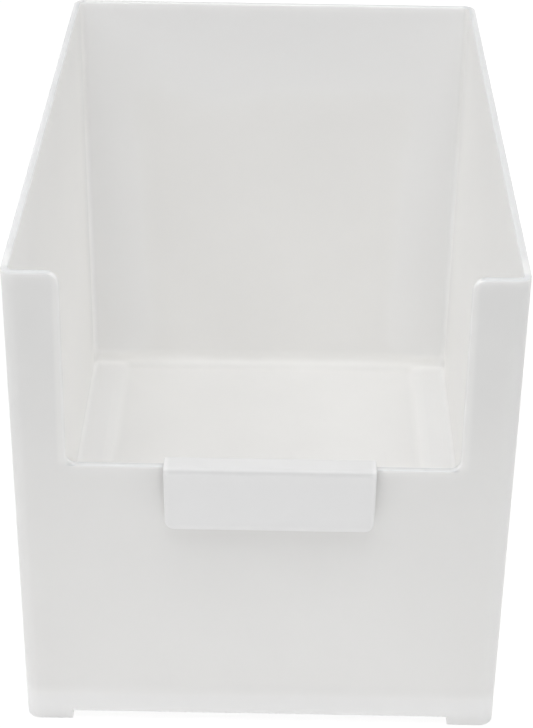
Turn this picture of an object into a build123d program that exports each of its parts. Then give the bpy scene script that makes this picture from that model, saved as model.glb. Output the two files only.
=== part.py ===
from build123d import *
import os
from math import cos, radians, tan

# Open storage bin with a low front, and a tab that clips over its front lip.
# Millimetres. +Z is up, the low front faces -Y, and z = 0 is the surface that the bin stands on.

# Bin, outside
rim_width = 160.0           # outside, left to right, at the rim
rim_depth = 264.0           # outside, front to back, at the rim
bin_height = 164.0          # surface to rim
draft = 1.0                 # degrees that each wall leans outwards, so that it leaves its mould
wall = 2.3                  # walls, and the sides of each rail
floor_thickness = 2.1
corner_radius = 4.3         # upright corners, outside

# Two rails under the floor, one along each side, hollow from below
rail_width = 15.2
rail_height = 2.3
rail_edge_radius = 1.2      # round the sole of a rail
core_corner_radius = 2.0    # upright corners of a rail's hollow
core_edge_radius = 0.5      # round the roof of that hollow
belly_edge_radius = 3.0     # lower edges of the front and back walls, between the rails

# Bin, inside
inner_corner_radius = 2.0   # upright corners, and along the side walls' feet
floor_sweep_radius = 6.5    # where the floor turns up into the front and back walls

# Low front
opening_width = 124.3       # between the front posts, at the rim
opening_depth = 66.3        # rim down to the lip
opening_draft = 0.45        # degrees that each post's edge leans
post_corner_radius = 4.2    # top of each post
lip_corner_radius = 3.5     # where a post meets the lip
rim_edge_radius = 0.5       # both edges of the rim, the posts and the lip

# Mark of the injection point, in the middle of the underside
gate_dish_radius = 5.0
gate_dish_depth = 0.5
gate_stub_radius = 0.9
gate_stub_height = 0.3

# Tab
tab_width = 66.6            # at its top
tab_offset = 2.2            # to the right of the bin's middle
tab_drop = 20.5             # lip down to the tab's lower edge
tab_side_draft = 1.4        # degrees that each side edge leans inwards
tab_corner_radius = 3.0     # lower corners
tab_sheet = 1.2             # thickness of its flap, bridge and leg
tab_stand_off = 4.1         # bin's outer face to the flap's outer face
tab_leg_stand_off = 2.8     # bin's inner face to the leg's outer face
tab_leg_drop = 10.0         # lip down to the end of the leg
tab_bend_radius = 2.0       # outside of the two bends at the bridge
tab_edge_radius = 0.4       # round the flap's edge
tab_seat_gap = 0.1          # bridge to the top of the lip
tab_grip_gap = 0.2          # ribs and bead to the walls that they bear on
tab_rib_count = 5           # behind the flap
tab_rib_thickness = 1.2
tab_rib_end_margin = 3.5    # a rib's lower end to the flap's lower edge
tab_rib_side_margin = 5.0   # outermost ribs to the flap's sides

over = 1.0                  # how far a cutting shape runs past what it cuts
near = 0.01                 # two places closer than this are the same place

# Sizes that follow from those above. A rounding never takes more than its share of a thin stretch.
lean = tan(radians(draft))
lip_height = bin_height - opening_depth
floor_top = rail_height + floor_thickness
sole_rounding = min(rail_edge_radius, 0.6 * rail_height, 0.6 * wall)
core_rounding = min(core_edge_radius, 0.3 * rail_height)
rim_rounding = min(rim_edge_radius, 0.4 * wall)
tab_rounding = min(tab_edge_radius, 0.4 * tab_sheet)


def half_width(z):
    """Half the outside width at height z."""
    return rim_width / 2 - (bin_height - z) * lean


def half_depth(z):
    """Half the outside depth at height z."""
    return rim_depth / 2 - (bin_height - z) * lean


def along_depth(points, reach, rounded=()):
    """Solid with an outline in x and z, carried along the depth by reach each way.
    rounded pairs corner numbers with radii."""
    return carried(Plane.XZ, points, reach, rounded)


def along_width(points, reach, rounded=()):
    """Solid with an outline in y and z, carried along the width by reach each way."""
    return carried(Plane.YZ, points, reach, rounded)


def carried(plane, points, reach, rounded):
    outline = make_face(Polyline(*points, close=True))
    for corner, radius in rounded:
        spot = Vector(*points[corner])
        nearest = min(outline.vertices(), key=lambda v: (Vector(v) - spot).length)
        outline = fillet(nearest, radius)
    return extrude(plane * outline, reach, both=True)


def drafted_block(low, top, inset, sweep=0.0):
    """Block between heights low and top whose four sides lean like the walls, inset from the
    outside of the bin. sweep rounds its lower front and back edges."""
    sides = []
    for half in (half_width, half_depth):
        at_low, at_top = half(low) - inset, half(top) - inset
        sides.append([(-at_low, low), (at_low, low), (at_top, top), (-at_top, top)])
    turned_up = ((0, sweep), (1, sweep)) if sweep else ()
    return along_depth(sides[0], rim_depth) & along_width(sides[1], rim_width, turned_up)


def outline_of(faces):
    """The edges round the outside of a patch of faces: those that only one of the faces has."""
    edges = [e for face in faces for e in face.edges()]
    return [e for e in edges if sum(e.is_same(other) for other in edges) == 1]


def bin_outside():
    """The bin's outer form: rounded upright corners, two rails and the space between them."""
    block = drafted_block(0, bin_height, 0)
    uprights = [e for e in block.edges() if 0.1 < e.center().Z / bin_height < 0.9]
    block = fillet(uprights, corner_radius)

    rail_inner = half_width(0) - rail_width
    block -= Pos(0, 0, (rail_height - over) / 2) * Box(2 * rail_inner, rim_depth, rail_height + over)
    soles = [f for f in block.faces() if abs(f.center().Z) < near]
    block = fillet(outline_of(soles), sole_rounding)

    belly = [e for e in block.edges().filter_by(Axis.X) if abs(e.center().Z - rail_height) < near]
    return fillet(belly, belly_edge_radius)


def rail_core():
    """What is taken out of the right-hand rail from below, so that its sides are no thicker than
    the bin's walls."""
    inner, outer = half_width(0) - rail_width + wall, half_width(0) - wall
    mouth = RectangleRounded(outer - inner, 2 * (half_depth(0) - wall), core_corner_radius)
    core = Pos((inner + outer) / 2, 0, -over) * extrude(mouth, rail_height + over)
    return fillet(core.faces().sort_by(Axis.Z)[-1].edges(), core_rounding)


def bin_hollow():
    """The space inside the bin, whose floor is swept up into its front and back walls."""
    top = bin_height + over
    space = drafted_block(floor_top, top, wall, floor_sweep_radius)
    for side in (-1, 1):
        panel = max(space.faces(), key=lambda f: side * f.center().X)
        space = fillet([e for e in panel.edges() if e.center().Z < top - near], inner_corner_radius)
    return space


def front_opening():
    """U-shaped notch of the low front, with its top corners flared round the posts."""
    top, sky = bin_height, bin_height + over
    at_rim = opening_width / 2
    at_lip = at_rim - opening_depth * tan(radians(opening_draft))
    flare = at_rim + post_corner_radius + over
    points = [(-at_lip, lip_height), (at_lip, lip_height), (at_rim, top), (flare, top),
              (flare, sky), (-flare, sky), (-flare, top), (-at_rim, top)]
    notch = along_depth(
        points,
        half_depth(bin_height) / 2,
        rounded=((0, lip_corner_radius), (1, lip_corner_radius), (2, post_corner_radius),
                 (7, post_corner_radius)),
    )
    return Pos(0, -half_depth(bin_height), 0) * notch


def rim_edges(body):
    """The two edges that run all round the rim, down the posts and along the lip."""
    behind_front = -half_depth(bin_height) + 2 * wall
    reach = opening_width / 2 + post_corner_radius + near
    rim = []
    for face in body.faces():
        spot, normal = face.center(), face.normal_at()
        on_top = spot.Z > bin_height - near
        square_to_front = abs(normal.Y) < near * lean and spot.Y < behind_front
        if on_top or (square_to_front and spot.Z > lip_height - near and abs(spot.X) < reach):
            rim.append(face)
    return outline_of(rim)


def gate_mark(body):
    """Shallow dish under the floor, with the stub that the injection point leaves in it."""
    dish = Cylinder(gate_dish_radius, 2 * gate_dish_depth)
    stub = Cylinder(gate_stub_radius, gate_stub_height + over)
    stub_low = rail_height + gate_dish_depth - gate_stub_height
    body -= Pos(0, 0, rail_height) * dish
    return body + Pos(0, 0, stub_low + (gate_stub_height + over) / 2) * stub


def make_bin():
    core = rail_core()
    body = bin_outside() - bin_hollow() - front_opening() - core - mirror(core, Plane.YZ)
    body = fillet(rim_edges(body), rim_rounding)
    return gate_mark(body)


def tab_blank(front, slab, back):
    """The tab as one even section carried along its width: flap, bridge and leg, with a bead along
    the end of the leg."""
    under, top = tab_seat_gap, tab_seat_gap + tab_sheet
    bead_radius = (tab_leg_stand_off - tab_grip_gap) / 2
    bead_height = -tab_leg_drop + bead_radius
    section = make_face(Polyline(
        (front, -tab_drop), (front, top), (back, top), (back, bead_height),
        (back - tab_sheet, bead_height), (back - tab_sheet, under),
        (front + tab_sheet, under), (front + tab_sheet, -tab_drop), close=True))
    section = fillet([v for v in section.vertices() if abs(v.Y - top) < near], tab_bend_radius)
    section += Pos(slab + tab_grip_gap + bead_radius, bead_height) * Circle(bead_radius)
    return extrude(Plane.YZ * section, tab_width / 2 + over, both=True)


def tab_ribs(front):
    """Ribs behind the flap, which keep it off the bin's front wall. Their lower ends are cut at 45
    degrees to lead the tab on, and their upper ends clear the rounded edge of the lip."""
    flap_back, rib_face = front + tab_sheet, -tab_grip_gap
    inside_flap = flap_back - tab_sheet / 2
    low = -tab_drop + tab_rib_end_margin
    outline = make_face(Polyline(
        (inside_flap, low), (flap_back, low), (rib_face, low + rib_face - flap_back),
        (rib_face, -rim_rounding), (rib_face - rim_rounding, tab_seat_gap),
        (inside_flap, tab_seat_gap), close=True))
    rib = extrude(Plane.YZ * outline, tab_rib_thickness / 2, both=True)
    pitch = (tab_width - 2 * tab_rib_side_margin) / (tab_rib_count - 1)
    first = -pitch * (tab_rib_count - 1) / 2
    return [Pos(first + index * pitch, 0, 0) * rib for index in range(tab_rib_count)]


def make_tab():
    """Upside-down U that hangs on the lip. It is drawn upright, with y = 0 on the bin's outer face
    and z = 0 at the lip, and then leant back like the wall."""
    slab = wall * cos(radians(draft))
    front, back = -tab_stand_off, slab + tab_leg_stand_off
    top = tab_seat_gap + tab_sheet
    at_top = tab_width / 2
    at_foot = at_top - (tab_drop + top) * tan(radians(tab_side_draft))
    cut = along_depth(
        [(-at_foot, -tab_drop), (at_foot, -tab_drop), (at_top, top), (-at_top, top)],
        back - front,
        rounded=((0, tab_corner_radius), (1, tab_corner_radius)),
    )
    body = tab_blank(front, slab, back) & cut

    skin = [f for f in body.faces() if f.center().Z > top - tab_bend_radius and abs(f.normal_at().X) < near]
    skin = [f for f in skin if f.normal_at().Z > near]
    skin += [f for f in body.faces() if f.center().Y < front + near or f.center().Y > back - near]
    crisp = [e for e in outline_of(skin) if e.center().Y < front + near or abs(e.center().X) > near]
    body = fillet(crisp, tab_rounding)
    for rib in tab_ribs(front):
        body += rib
    return Pos(tab_offset, -half_depth(lip_height), lip_height) * Rot(draft, 0, 0) * body


def export(name, solid):
    solid.label = name
    export_step(solid, "parts/" + name + ".step")
    box = solid.bounding_box()
    print(name, "volume", round(solid.volume), "mm3, box", box.min, box.max, "valid", solid.is_valid)


os.makedirs("parts", exist_ok=True)
bin_body = make_bin()
clip_tab = make_tab()

# y = 0 is the middle of the whole footprint, tab and all
front_y = min(bin_body.bounding_box().min.Y, clip_tab.bounding_box().min.Y)
back_y = max(bin_body.bounding_box().max.Y, clip_tab.bounding_box().max.Y)
centred = Pos(0, -(front_y + back_y) / 2, 0)
export("bin_body", centred * bin_body)
export("clip_on_tab", centred * clip_tab)
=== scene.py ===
# %% [markdown]
# # A moulded storage bin and its clip-on front tab
#
# The real object is an open polypropylene bin with a low front, and a small tab of the same plastic
# that hangs on the front lip. The imported model is the fixed frame, and its two solids already have
# the right shape. So no piece is rebuilt here: this lesson is about how a white plastic takes light,
# which thick and thin places show in it, where light and shade are painted into its colour, and how
# a white studio is set up. Everything is in metres.

# %% Load the frame
from math import cos, radians, sin, tan

import bpy
import numpy as np
from mathutils import Matrix, Vector


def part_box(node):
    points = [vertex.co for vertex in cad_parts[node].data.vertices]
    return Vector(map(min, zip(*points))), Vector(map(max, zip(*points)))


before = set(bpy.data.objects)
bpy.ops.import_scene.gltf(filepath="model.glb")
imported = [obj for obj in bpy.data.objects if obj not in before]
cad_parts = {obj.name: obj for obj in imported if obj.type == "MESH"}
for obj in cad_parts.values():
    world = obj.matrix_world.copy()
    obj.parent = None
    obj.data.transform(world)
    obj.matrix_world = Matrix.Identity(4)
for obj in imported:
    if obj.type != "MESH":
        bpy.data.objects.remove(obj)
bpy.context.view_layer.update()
mm = 0.001
scene = bpy.context.scene

# %% [markdown]
# ## Two helpers
#
# A colour picked from a chart is an sRGB value, but the renderer adds light in linear numbers, so one
# function turns a hex colour to linear. Materials are small node trees, and one function adds a node
# with its settings and links, which keeps each recipe short enough to read.

# %% Colour and node helpers
def linear(hex_colour):
    """Linear RGBA of an sRGB hex colour: the low part is divided by 12.92, the rest is a 2.4 power."""
    srgb = np.array([int(hex_colour[i:i + 2], 16) / 255 for i in (1, 3, 5)])
    rgb = np.where(srgb <= 0.04045, srgb / 12.92, ((srgb + 0.055) / 1.055) ** 2.4)
    return (*rgb.tolist(), 1.0)


def add(tree, kind, links=(), **settings):
    """Adds a node, sets its own settings, and fills or links each named input."""
    node = tree.nodes.new(kind)
    for name, value in settings.items():
        setattr(node, name, value)
    for name, value in dict(links).items():
        if isinstance(value, bpy.types.NodeSocket):
            tree.links.new(value, node.inputs[name])
        else:
            node.inputs[name].default_value = value
    return node


white = linear("#FFFFFF")
print("white is", white)

# %% [markdown]
# ## Thick and thin places, and painted light and shade
#
# Light goes a few millimetres into polypropylene before it comes back. A thin wall lets part of it out
# on the far side, and a thicker place sends more of it back, so thick places look whiter and thin
# edges a little greyer. On this bin the thick places are the sides of the two rails under the floor,
# the foot of the front wall and the upright corners. The thin ones are the rim and the lip. Most of
# these masks also carry painted light and shade: painted light from the floor on the foot of the
# front wall, painted light against the shade of the upright corners, and painted shade on the rim
# and the lip, where the top light falls hardest. The front wall and its posts are painted a little
# darker, with a painted highlight along the posts' edges.
#
# The other masks are painted light and shade that even out the light. The real bin looks flatter
# inside than a few lamps make this shape, so the back wall is painted a little whiter towards its
# corners and its top, and the side walls are painted a little greyer where they meet it.
#
# Each mask below is a number from 0 to 1 that says how much a point belongs to such a place. It is
# worked out from the point's own place on the piece, so it stays put in every view, and its sizes
# repeat the solid's.

# %% Sizes for the masks
lean = tan(radians(1.0))            # how far each wall leans out for a unit of height
wall = 2.3 * mm
half_width_at_rim = 80 * mm
lip_below_rim = 66.3 * mm
rail_side = 63.1 * mm               # middle of each rail's inner side, from the bin's middle
floor_top = 4.4 * mm
opening_half = 61.9 * mm            # half the opening, midway down its posts
front_wall_reach = 6 * mm           # from the rim's front edge to just behind the front wall's foot

(_, bin_front, _), (_, bin_back, rim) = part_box("bin_body")
(tab_left, _, tab_foot), (tab_right, _, tab_top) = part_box("clip_on_tab")
lip = rim - lip_below_rim
inner_side_at_base = half_width_at_rim - rim * lean - wall
inner_back_at_base = bin_back - rim * lean - wall
behind_front_wall = bin_front + front_wall_reach
tab_middle = (tab_left + tab_right) / 2
tab_half = (tab_right - tab_left) / 2
print("in mm: rim", round(rim / mm, 1), "lip", round(lip / mm, 1),
      "inner side", round(inner_side_at_base / mm, 1), "half the tab", round(tab_half / mm, 1))


# %% Mask helpers
def fold(tree, operation, first, *others):
    """One math operation over several numbers, taken in turn."""
    for other in others:
        first = add(tree, "ShaderNodeMath", {0: first, 1: other}, operation=operation).outputs[0]
    return first


def away(tree, value, middle):
    """How far a value is from the middle, on either side."""
    return fold(tree, "ABSOLUTE", fold(tree, "SUBTRACT", value, middle), 0.0)


def weighed(tree, start, pairs):
    """start plus each value times its weight."""
    total = start
    for value, weight in pairs:
        total = add(tree, "ShaderNodeMath", {0: value, 1: weight, 2: total},
                    operation="MULTIPLY_ADD").outputs[0]
    return total


def smooth(tree, value, start, end):
    """0 where value is at start and 1 where it is at end, both in millimetres, on a smooth curve
    between them."""
    step = {"Value": value, "From Min": start * mm, "From Max": end * mm}
    return add(tree, "ShaderNodeMapRange", step, interpolation_type="SMOOTHSTEP").outputs["Result"]


def patch(tree, *factors):
    """A product of masks. Each factor is a mask, or a value with the start and end of its step."""
    return fold(tree, "MULTIPLY", *[
        smooth(tree, *factor) if isinstance(factor, tuple) else factor for factor in factors])


# %% Masks of the bin
def bin_masks(tree, x, y, z):
    """The bin's masks, each with its weight: above 0 is whiter, below 0 greyer. Some stand for thicker
    and thinner plastic, the others for painted light and shade, and several for both."""
    across = away(tree, x, 0.0)
    to_side = fold(tree, "SUBTRACT", weighed(tree, inner_side_at_base, [(z, lean)]), across)
    to_back = fold(tree, "SUBTRACT", weighed(tree, inner_back_at_base, [(z, lean)]), y)
    to_corner = fold(tree, "MAXIMUM", to_side, to_back)
    above_floor = fold(tree, "SUBTRACT", z, floor_top)
    above_lip = fold(tree, "SUBTRACT", z, lip)
    above_rim = fold(tree, "SUBTRACT", z, rim)
    inwards = fold(tree, "SUBTRACT", y, behind_front_wall)
    into_opening = fold(tree, "SUBTRACT", opening_half, across)
    beside_tab = fold(tree, "SUBTRACT", away(tree, x, tab_middle), tab_half)
    below_tab = fold(tree, "SUBTRACT", tab_foot, z)

    front_wall = patch(tree, (inwards, 0, -3))
    inside = patch(tree, (inwards, 0, 2))
    side_face = patch(tree, (to_side, 3, 1.2), (to_side, -1.6, -0.6))
    back_face = patch(tree, (to_back, 3, 1.2), (to_back, -1.6, -0.6))
    floor_face = patch(tree, (above_floor, 2, 0.5))
    side_foot = smooth(tree, fold(tree, "MAXIMUM", to_side, above_floor), 2.6, 1.2)
    back_foot = smooth(tree, fold(tree, "MAXIMUM", to_back, above_floor), 6.3, 2.2)
    back_top = patch(tree, (z, 110, 160), back_face)
    rim_edge = patch(tree, (above_rim, -0.6, -0.1))
    lip_edge = patch(tree, (above_lip, -0.6, -0.1))

    thickness_and_painted_light = [
        # over the inner side of each rail
        (patch(tree, (away(tree, across, rail_side), 2.6, 0.6), floor_face, (y, 122, 114)), 0.50),
        # painted shade over the front wall
        (front_wall, -0.15),
        # painted light growing towards the wall's foot, as from the floor
        (patch(tree, front_wall, (z, 150, 10)), 0.10),
        # the band along its lower edge: thicker there, and painted light from the floor
        (patch(tree, front_wall, (z, 15, 2)), 0.45),
        # the posts beside the opening, painted a little darker
        (patch(tree, front_wall, (above_lip, -5, 25)), -0.02),
        # a painted highlight along the posts' edges
        (patch(tree, front_wall, (above_lip, -1, 2), (into_opening, -3, -1.5)), 0.07),
        # painted light against the shade of the upright corners at the back, where the plastic is
        # thicker too
        (patch(tree, (to_corner, 30, 0)), 0.07),
        # painted shade under the top light on the thin rim, less so on top of the posts, and on the lip
        (rim_edge, -0.42),
        (patch(tree, rim_edge, (y, -110, -122)), 0.14),
        (patch(tree, lip_edge, (into_opening, 0, 2), (y, -100, -110)), -0.29),
    ]
    painted_light_and_shade = [
        # painted light on the back wall towards its corners, and painted shade on the side walls where
        # they meet it
        (patch(tree, back_face, (to_side, 32, 0), (above_floor, 2, 14), (z, 165, 45)), 0.32),
        (patch(tree, side_face, (to_back, 26, 0), (above_floor, 2, 16)), -0.18),
        # painted light on the top of the back wall, and more so its middle
        (back_top, 0.09),
        (patch(tree, back_top, (across, 72, 24)), 0.16),
        # painted shade on the floor, and painted light on its strips in the side walls' shade
        (patch(tree, floor_face, inside), -0.06),
        (patch(tree, floor_face, inside, (to_side, 17, 9)), 0.34),
        # painted shade in the creases along the side walls
        (patch(tree, side_foot, (to_back, 4, 12), inside), -0.14),
        # painted shade where the floor turns up into the back wall, and more so at its ends
        (back_foot, -0.10),
        (patch(tree, back_foot, (to_side, 18, 6)), -0.05),
        # painted light in the tab's shadow on the front wall, which makes it fainter
        (patch(tree, front_wall, (beside_tab, 6, -6), (below_tab, 18, 0)), 0.06),
    ]
    return thickness_and_painted_light + painted_light_and_shade


# %% Masks of the tab
def tab_masks(tree, x, y, z):
    """Painted highlights on the tab's side and lower edges, and painted shade on its top, a single thin
    sheet.
    """
    to_side = fold(tree, "SUBTRACT", tab_half, away(tree, x, tab_middle))
    to_foot = fold(tree, "SUBTRACT", z, tab_foot)
    to_top = fold(tree, "SUBTRACT", tab_top, z)
    edge = smooth(tree, fold(tree, "MINIMUM", to_side, to_foot), 2.2, 0.4)
    return [(edge, 0.10), (smooth(tree, to_top, 2.3, 0.9), -0.31)]


# %% [markdown]
# ## White polypropylene, injection moulded
#
# Polypropylene is a waxy plastic whose index of refraction is 1.49. The mould's fine texture leaves a
# satin skin, so highlights are soft. Light that enters spreads, which the shader's subsurface part
# works out with a distance: about 5 mm in the bin's plastic, and under 0.1 mm in the tab's, which
# holds more white pigment. Three patterns break up the even surface: broad clouds where the plastic
# cooled at different rates, a slow ripple in walls this thin, and the texture of the mould's steel.
# The colour is a faintly warm white, and a ramp takes it from thin to thick; the same ramp also
# carries the painted light and shade of the masks.

# %% Moulded polypropylene
plain_thickness, clouds_share = 0.505, 0.105    # of a place in no mask, and what the clouds add
usual_at = 0.625                                # where the usual colour stands on the ramp
clouds_low, clouds_high = 0.35, 0.65            # nearly all of the clouds' values lie between these
gloss_change = 0.04                             # in roughness, up and down, with the clouds
refraction = 1.49
ripple_strength, ripple_depth = 0.25, 0.12 * mm
grain_strength, grain_depth = 0.2, 0.02 * mm


def moulded_polypropylene(name, thin, usual, thick, masks, spread, roughness,
                          clouds_size, ripple_size, grain_size):
    """Satin moulded plastic. Sizes are real ones, in metres; the steel's texture is drawn about three
    times as coarse as it is, because finer grains would not show."""
    material = bpy.data.materials.new(name)
    material.use_nodes = True
    tree = material.node_tree
    tree.nodes.clear()
    place = add(tree, "ShaderNodeTexCoord").outputs["Object"]
    x, y, z = add(tree, "ShaderNodeSeparateXYZ", {"Vector": place}).outputs
    clouds, ripple, grain = (
        add(tree, "ShaderNodeTexNoise",
            {"Vector": place, "Scale": 1 / size, "Detail": detail}).outputs["Fac"]
        for size, detail in ((clouds_size, 3.0), (ripple_size, 1.0), (grain_size, 2.0)))
    # the masks add thickness and painted light and shade into this one number
    thickness_with_painted_light = weighed(tree, plain_thickness, [(clouds, clouds_share), *masks(tree, x, y, z)])
    ramp = add(tree, "ShaderNodeValToRGB", {"Fac": thickness_with_painted_light})
    ramp.color_ramp.elements[0].color = linear(thin)
    ramp.color_ramp.elements[1].color = linear(thick)
    ramp.color_ramp.elements.new(usual_at).color = linear(usual)
    gloss = add(tree, "ShaderNodeMapRange", {
        "Value": clouds, "From Min": clouds_low, "From Max": clouds_high,
        "To Min": roughness - gloss_change, "To Max": roughness + gloss_change})
    slow = add(tree, "ShaderNodeBump", {
        "Height": ripple, "Strength": ripple_strength, "Distance": ripple_depth})
    fine = add(tree, "ShaderNodeBump", {
        "Height": grain, "Strength": grain_strength, "Distance": grain_depth,
        "Normal": slow.outputs["Normal"]})
    skin = add(tree, "ShaderNodeBsdfPrincipled", {
        "Base Color": ramp.outputs["Color"], "Roughness": gloss.outputs["Result"],
        "IOR": refraction, "Normal": fine.outputs["Normal"], "Subsurface Weight": 1.0,
        "Subsurface Scale": spread, "Subsurface Radius": (1.0, 1.0, 1.0)})
    add(tree, "ShaderNodeOutputMaterial", {"Surface": skin.outputs["BSDF"]})
    return material


# the thin and thick colours also give the masks' painted shade and painted light
bin_plastic = moulded_polypropylene(
    "polypropylene_white_injection_moulded", "#C4C6C8", "#F8F7F5", "#FEFDFA", bin_masks,
    spread=5 * mm, roughness=0.42, clouds_size=45 * mm, ripple_size=26 * mm, grain_size=0.9 * mm)
tab_plastic = moulded_polypropylene(
    "polypropylene_milky_injection_moulded", "#C5C5C5", "#FEFEFE", "#FFFFFF", tab_masks,
    spread=0.08 * mm, roughness=0.38, clouds_size=30 * mm, ripple_size=18 * mm, grain_size=0.7 * mm)
for node_name, plastic in (("bin_body", bin_plastic), ("clip_on_tab", tab_plastic)):
    node_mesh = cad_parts[node_name].data
    node_mesh.materials.clear()
    node_mesh.materials.append(plastic)
    print(node_name, "has", len(node_mesh.polygons), "faces and the plastic", plastic.name)

# %% [markdown]
# ## The studio floor
#
# The bin stands on a wide sheet of white paper. To the object it is matt paper with a faint light
# behind it, which throws a soft light up at the walls. Seen by the camera, or mirrored in a glossy
# skin, most of its light is a glow, so it reads as white and only a faint shadow is left where the
# bin stands.

# %% Paper floor
half_floor = 4.0
paper_back_light, paper_glow = 0.14, 0.9
floor_mesh = bpy.data.meshes.new("studio_floor")
corners = [(x * half_floor, y * half_floor, 0) for x, y in ((-1, -1), (1, -1), (1, 1), (-1, 1))]
floor_mesh.from_pydata(corners, [], [(0, 1, 2, 3)])
floor = bpy.data.objects.new("studio_floor", floor_mesh)
scene.collection.objects.link(floor)


def seen_directly(tree):
    """1 for rays from the camera and for those that a gloss or a clear piece sends on, else 0."""
    ray = add(tree, "ShaderNodeLightPath").outputs
    return fold(tree, "MAXIMUM", ray["Is Camera Ray"], ray["Is Glossy Ray"], ray["Is Transmission Ray"])


def lit_paper(tree, colour, strength):
    """Matt paper of a colour that also shines with a white light."""
    matt = add(tree, "ShaderNodeBsdfDiffuse", {"Color": linear(colour)})
    light = add(tree, "ShaderNodeEmission", {"Color": white, "Strength": strength})
    both = {0: matt.outputs["BSDF"], 1: light.outputs["Emission"]}
    return add(tree, "ShaderNodeAddShader", both).outputs["Shader"]


paper = bpy.data.materials.new("white_paper_sweep")
paper.use_nodes = True
tree = paper.node_tree
tree.nodes.clear()
paper_mix = add(tree, "ShaderNodeMixShader", {
    0: seen_directly(tree), 1: lit_paper(tree, "#F2F2F2", paper_back_light),
    2: lit_paper(tree, "#707070", paper_glow)})
add(tree, "ShaderNodeOutputMaterial", {"Surface": paper_mix.outputs["Shader"]})
floor_mesh.materials.append(paper)
print("floor is", 2 * half_floor, "m wide")

# %% [markdown]
# ## Walls of the studio
#
# White walls all round give a little light from every side. The camera sees them at a strength of 1,
# which is white, and the object gets much less from them.

# %% Studio walls
walls_to_object, walls_to_camera = 0.334, 1.0
world = bpy.data.worlds.new("studio")
scene.world = world
world.use_nodes = True
tree = world.node_tree
tree.nodes.clear()
dim, bright = (
    add(tree, "ShaderNodeBackground", {"Color": white, "Strength": strength}).outputs["Background"]
    for strength in (walls_to_object, walls_to_camera))
world_mix = add(tree, "ShaderNodeMixShader", {0: seen_directly(tree), 1: dim, 2: bright})
add(tree, "ShaderNodeOutputWorld", {"Surface": world_mix.outputs["Shader"]})
print("walls give", walls_to_object, "to the object and", walls_to_camera, "to the camera")

# %% [markdown]
# ## Softboxes
#
# A softbox is a lamp with a large, even face, so its shadows are wide and soft. Each stands on a
# sphere round the bin and is named by where it stands. The highest one does most of the work, because
# it reaches the floor of the bin. The left one is stronger than the right one, as the photograph's
# brighter right wall shows, and a weak one at the front left reaches the tab and the front wall.

# %% Softboxes
middle = Vector((0, 0, 80 * mm))
lamp_distance, lamp_side = 1.6, 1.0


def softbox(name, azimuth, elevation, watts):
    """Square lamp that faces the bin. Azimuth runs from the front (0) to the right (90 degrees)."""
    turn, rise = radians(azimuth), radians(elevation)
    outward = Vector((sin(turn) * cos(rise), -cos(turn) * cos(rise), sin(rise)))
    lamp = bpy.data.lights.new(name, "AREA")
    lamp.shape = "SQUARE"
    lamp.size = lamp_side
    lamp.energy = watts
    box = bpy.data.objects.new(name, lamp)
    scene.collection.objects.link(box)
    box.location = middle + lamp_distance * outward
    box.rotation_euler = (-outward).to_track_quat("-Z", "Y").to_euler()
    box.visible_camera = False


softbox("softbox_top", azimuth=0, elevation=72, watts=11.2)
softbox("softbox_left", azimuth=270, elevation=50, watts=6.6)
softbox("softbox_right", azimuth=90, elevation=50, watts=4.6)
softbox("softbox_front_left", azimuth=315, elevation=50, watts=1.5)

# %% [markdown]
# ## The camera
#
# The picture was taken from in front, about 0.9 m away and from well above, with a long lens. The
# place and the angles below were worked out from the bin's outline, rim, opening and floor. The long
# side of the frame is the sensor's 36 mm.

# %% Camera
camera_place = (4.9 * mm, -761.5 * mm, 451.9 * mm)
camera_pitch, camera_yaw, camera_roll = 26.69, -0.388, 0.80     # degrees
camera_data = bpy.data.cameras.new("camera")
camera_data.sensor_width = 36
camera_data.lens = 114.62
camera = bpy.data.objects.new("camera", camera_data)
scene.collection.objects.link(camera)
camera.matrix_world = (
    Matrix.Translation(camera_place)
    @ Matrix.Rotation(radians(-camera_yaw), 4, "Z")
    @ Matrix.Rotation(radians(90 - camera_pitch), 4, "X")
    @ Matrix.Rotation(radians(camera_roll), 4, "Z"))
scene.camera = camera
scene.view_settings.view_transform = "Standard"
print("camera at", camera_place, "lens", camera_data.lens, "mm")
